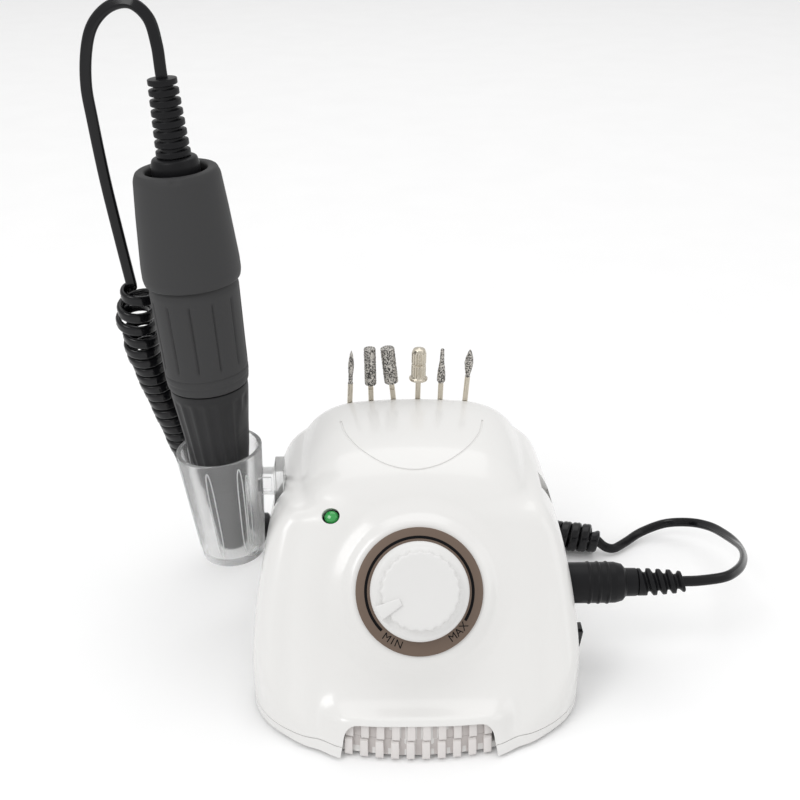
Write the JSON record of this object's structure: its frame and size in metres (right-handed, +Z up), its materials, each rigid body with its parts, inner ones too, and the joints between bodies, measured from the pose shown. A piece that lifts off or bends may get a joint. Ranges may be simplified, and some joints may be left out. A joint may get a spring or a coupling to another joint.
{
  "type": "electric nail drill",
  "caption": "Desktop electric nail drill: control box with a speed dial, bits standing in its top, and a motor handpiece resting in a clear side cup, joined by a curly cord.",
  "frame": {"origin": "middle of the footprint of the box, cup and handpiece, the cords left out, on the table", "axes": "+Z up, -Y towards the user (the side with the dial), +X to the user's right"},
  "size_m": [0.2651, 0.1584, 0.2583],
  "materials": {
    "housing_white": "glossy, smooth",
    "grille_white": "satin, lightly textured",
    "dial_bronze": "satin metallic print",
    "led_green": "translucent, glossy",
    "black_gloss": "glossy",
    "black_satin": "satin, finely grained",
    "cord_black": "glossy PVC",
    "cup_clear": "translucent, lightly frosted",
    "handpiece_charcoal": "matte, soft touch",
    "steel": "fine turned",
    "grit": "diamond grit",
    "copper": "enamelled winding",
    "iron": "laminated or sintered, dull",
    "board_green": "satin solder mask",
    "aluminium_fin": "extruded",
    "foot_rubber": "matte"
  },
  "bodies": {
    "control_box": {"upper_housing": "housing_white", "base_tray": "grille_white", "case_screw_1": "steel", "case_screw_2": "steel", "case_screw_3": "steel", "case_screw_4": "steel", "rubber_foot_1": "foot_rubber", "rubber_foot_2": "foot_rubber", "rubber_foot_3": "foot_rubber", "rubber_foot_4": "foot_rubber", "led_lens": "led_green", "dial_plate": "dial_bronze", "potentiometer_body": "aluminium_fin", "potentiometer_nut": "steel", "power_switch_body": "black_satin", "direction_switch_body": "black_satin", "handpiece_socket": "black_satin", "pedal_socket": "black_satin", "fuse_holder": "black_satin", "mains_inlet": "black_satin", "transformer_core": "iron", "transformer_winding": "copper", "circuit_board": "board_green", "heat_sink": "aluminium_fin", "smoothing_capacitor": "black_satin", "handpiece_holder": "cup_clear", "curly_cord": "cord_black"},
    "dial_knob": {"speed_knob": "housing_white", "potentiometer_shaft": "steel"},
    "power_button": {"power_rocker": "black_gloss"},
    "direction_button": {"direction_rocker": "black_gloss"},
    "handpiece": {"handpiece_body": "handpiece_charcoal", "rear_cover": "handpiece_charcoal", "nose_sleeve": "handpiece_charcoal", "cord_collar": "black_satin", "handpiece_boot": "black_satin", "motor_magnet": "iron", "front_bearing": "steel", "rear_bearing": "steel", "brush_holder": "black_satin", "brush_left": "iron", "brush_right": "iron", "cord_loop": "cord_black"},
    "lock_ring": {"chuck_lock_ring": "handpiece_charcoal"},
    "rotor": {"spindle": "steel", "collet": "steel", "armature": "copper", "commutator": "copper"},
    "bit_1": {"needle_bit": "grit"},
    "bit_2": {"long_barrel_bit": "grit"},
    "bit_3": {"wide_barrel_bit": "grit"},
    "bit_4": {"sanding_mandrel": "steel"},
    "bit_5": {"cone_bit": "grit"},
    "bit_6": {"flame_bit": "grit"},
    "cord_plug": {"plug_barrel": "black_satin", "plug_boot": "black_satin", "cord_tail": "cord_black"}
  },
  "joints": [
    {"name": "speed_dial", "type": "hinge", "parent": "control_box", "child": "dial_knob", "pos_m": [0.0183, -0.03285, 0.0491], "axis": [0, -0.809, 0.5878], "range_deg": [-239, 18]},
    {"name": "power_rocker_tilt", "type": "hinge", "parent": "control_box", "child": "power_button", "pos_m": [0.0801, -0.01825, 0.0142], "axis": [0, 1, 0], "range_deg": [-20, 0]},
    {"name": "direction_rocker_tilt", "type": "hinge", "parent": "control_box", "child": "direction_button", "pos_m": [0.0033, 0.06575, 0.03], "axis": [1, 0, 0], "range_deg": [0, 20]},
    {"name": "handpiece_lift", "type": "slide", "parent": "control_box", "child": "handpiece", "axis": [-0.0654, 0, 0.9979], "range_m": [0, 0.06]},
    {"name": "lock_ring_twist", "type": "hinge", "parent": "handpiece", "child": "lock_ring", "pos_m": [-0.0584, 0.01745, 0.0391], "axis": [-0.0654, 0, 0.9979], "range_deg": [0, 60]},
    {"name": "spindle_spin", "type": "hinge", "parent": "handpiece", "child": "rotor", "pos_m": [-0.0584, 0.01745, 0.0391], "axis": [-0.0654, 0, 0.9979], "continuous": true},
    {"name": "bit_1_lift", "type": "slide", "parent": "control_box", "child": "bit_1", "axis": [0.0471, 0, 0.9989], "range_m": [0, 0.016]},
    {"name": "bit_2_lift", "type": "slide", "parent": "control_box", "child": "bit_2", "axis": [-0.0157, 0, 0.9999], "range_m": [0, 0.016]},
    {"name": "bit_3_lift", "type": "slide", "parent": "control_box", "child": "bit_3", "axis": [-0.1063, 0, 0.9943], "range_m": [0, 0.016]},
    {"name": "bit_4_lift", "type": "slide", "parent": "control_box", "child": "bit_4", "axis": [0.0209, 0, 0.9998], "range_m": [0, 0.016]},
    {"name": "bit_5_lift", "type": "slide", "parent": "control_box", "child": "bit_5", "axis": [0.0297, 0, 0.9996], "range_m": [0, 0.016]},
    {"name": "bit_6_lift", "type": "slide", "parent": "control_box", "child": "bit_6", "axis": [0.0715, 0, 0.9974], "range_m": [0, 0.016]},
    {"name": "plug_pull", "type": "slide", "parent": "control_box", "child": "cord_plug", "axis": [1, 0, 0], "range_m": [0, 0.018]}
  ]
}
